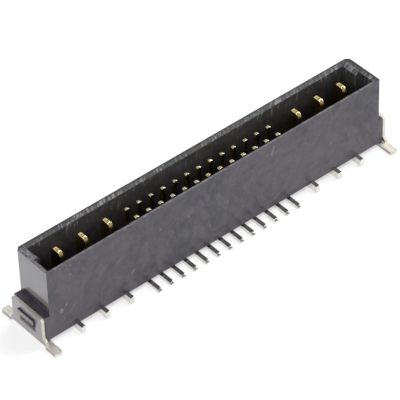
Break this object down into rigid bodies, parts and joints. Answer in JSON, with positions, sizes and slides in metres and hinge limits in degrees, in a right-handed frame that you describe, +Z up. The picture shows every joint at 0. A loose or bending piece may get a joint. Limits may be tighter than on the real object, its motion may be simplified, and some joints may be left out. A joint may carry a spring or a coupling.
{
  "type": "pin header",
  "caption": "Shrouded straight surface-mount pin header with tapered signal pins, flat power blades and folded metal hold-down brackets, for plugging circuit boards together.",
  "frame": {"origin": "middle of the footprint, on the board that the solder tails and feet stand on", "axes": "+X along the header, +Y towards the side with the cut corners, +Z up, the way the plug leaves"},
  "size_m": [0.0378, 0.0072, 0.0076],
  "materials": {
    "housing": "matte moulded",
    "hold_down": "tinned, satin",
    "power_contact": "gold plated, tinned feet",
    "signal_contact": "gold plated, tinned tails"
  },
  "bodies": {
    "root": {"housing": "housing", "hold_down_left": "hold_down", "hold_down_right": "hold_down", "power_contact_1": "power_contact", "power_contact_2": "power_contact", "power_contact_3": "power_contact", "power_contact_4": "power_contact", "power_contact_5": "power_contact", "power_contact_6": "power_contact", "signal_contact_a1": "signal_contact", "signal_contact_a2": "signal_contact", "signal_contact_a3": "signal_contact", "signal_contact_a4": "signal_contact", "signal_contact_a5": "signal_contact", "signal_contact_a6": "signal_contact", "signal_contact_a7": "signal_contact", "signal_contact_a8": "signal_contact", "signal_contact_a9": "signal_contact", "signal_contact_a10": "signal_contact", "signal_contact_a11": "signal_contact", "signal_contact_a12": "signal_contact", "signal_contact_a13": "signal_contact", "signal_contact_b1": "signal_contact", "signal_contact_b2": "signal_contact", "signal_contact_b3": "signal_contact", "signal_contact_b4": "signal_contact", "signal_contact_b5": "signal_contact", "signal_contact_b6": "signal_contact", "signal_contact_b7": "signal_contact", "signal_contact_b8": "signal_contact", "signal_contact_b9": "signal_contact", "signal_contact_b10": "signal_contact", "signal_contact_b11": "signal_contact", "signal_contact_b12": "signal_contact", "signal_contact_b13": "signal_contact"}
  },
  "joints": []
}
